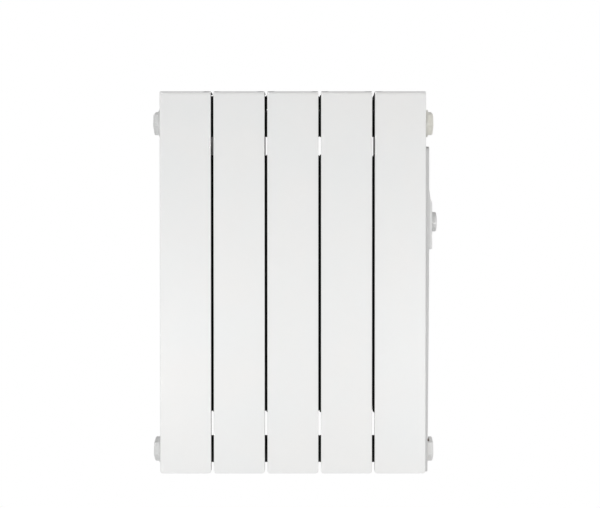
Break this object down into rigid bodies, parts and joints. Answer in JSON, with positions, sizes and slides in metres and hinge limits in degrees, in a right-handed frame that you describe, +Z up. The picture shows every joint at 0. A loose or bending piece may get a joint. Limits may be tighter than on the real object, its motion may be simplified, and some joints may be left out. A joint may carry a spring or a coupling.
{
  "type": "oil filled radiator heater",
  "caption": "Wall-hung fluid-filled electric radiator: flat vertical aluminium sections, hexagon end plugs, side control unit with thermostat knob and rocker switch, hook wall brackets.",
  "frame": {"origin": "on the wall plane, at the centre of the four upper wall fixings", "axes": "+X along the wall to the control side, +Y into the wall, +Z up"},
  "size_m": [0.4314, 0.122, 0.5725],
  "materials": {
    "powder_coat": "satin white powder coat over die-cast aluminium",
    "plug_enamel": "warm white enamel, slightly yellowed",
    "white_plastic": "fine moulded texture",
    "knob_plastic": "satin moulded",
    "grey_plastic": "satin moulded",
    "rubber": "matt",
    "zinc_steel": "zinc plated",
    "sheath_steel": "drawn tube",
    "brass": "turned",
    "cast_aluminium": "bare casting",
    "bracket_enamel": "gloss white enamel",
    "nylon": "natural nylon",
    "board_resin": "solder mask",
    "relay_plastic": "moulded",
    "black_plastic": "moulded",
    "lens_plastic": "tinted clear plastic",
    "brown_insulation": "extruded",
    "blue_insulation": "extruded",
    "earth_insulation": "extruded",
    "white_insulation": "extruded"
  },
  "bodies": {
    "radiator": {"base_caps": "cast_aluminium", "board_screws": "zinc_steel", "cable_grommet": "rubber", "control_board": "board_resin", "control_fascia": "white_plastic", "control_housing": "white_plastic", "cover_screws": "zinc_steel", "earth_lead": "earth_insulation", "earth_screw": "zinc_steel", "element_1": "powder_coat", "element_2": "powder_coat", "element_3": "powder_coat", "element_4": "powder_coat", "element_5": "powder_coat", "fascia_screws": "zinc_steel", "heater_cap": "white_plastic", "heater_head": "brass", "heater_terminals": "brass", "heating_element": "sheath_steel", "hook_pads": "nylon", "housing_screws": "zinc_steel", "indicator_lamp": "lens_plastic", "indicator_lens": "lens_plastic", "joint_gaskets": "rubber", "knob_collar": "knob_plastic", "live_lead": "brown_insulation", "lower_left_bracket": "bracket_enamel", "lower_left_plug": "plug_enamel", "lower_nipples": "zinc_steel", "lower_right_bracket": "bracket_enamel", "neutral_lead": "blue_insulation", "plug_gaskets": "rubber", "power_relay": "relay_plastic", "room_sensor": "white_plastic", "sensor_lead": "white_insulation", "side_cover": "white_plastic", "smoothing_capacitor": "black_plastic", "switch_body": "white_plastic", "terminal_block": "grey_plastic", "thermal_cutout": "black_plastic", "thermostat_potentiometer": "grey_plastic", "upper_left_bracket": "bracket_enamel", "upper_left_plug": "plug_enamel", "upper_nipples": "zinc_steel", "upper_right_bracket": "bracket_enamel", "upper_right_plug": "plug_enamel"},
    "thermostat_knob": {"thermostat_knob": "knob_plastic", "control_shaft": "zinc_steel"},
    "power_rocker": {"power_rocker": "knob_plastic"}
  },
  "joints": [
    {"name": "knob_turn", "type": "hinge", "parent": "radiator", "child": "thermostat_knob", "pos_m": [0.2107, -0.072, -0.1356], "axis": [1, 0, 0], "range_deg": [0, 270]},
    {"name": "rocker_tilt", "type": "hinge", "parent": "radiator", "child": "power_rocker", "pos_m": [0.2074, -0.072, -0.1646], "axis": [0, 1, 0], "range_deg": [0, 18]}
  ]
}
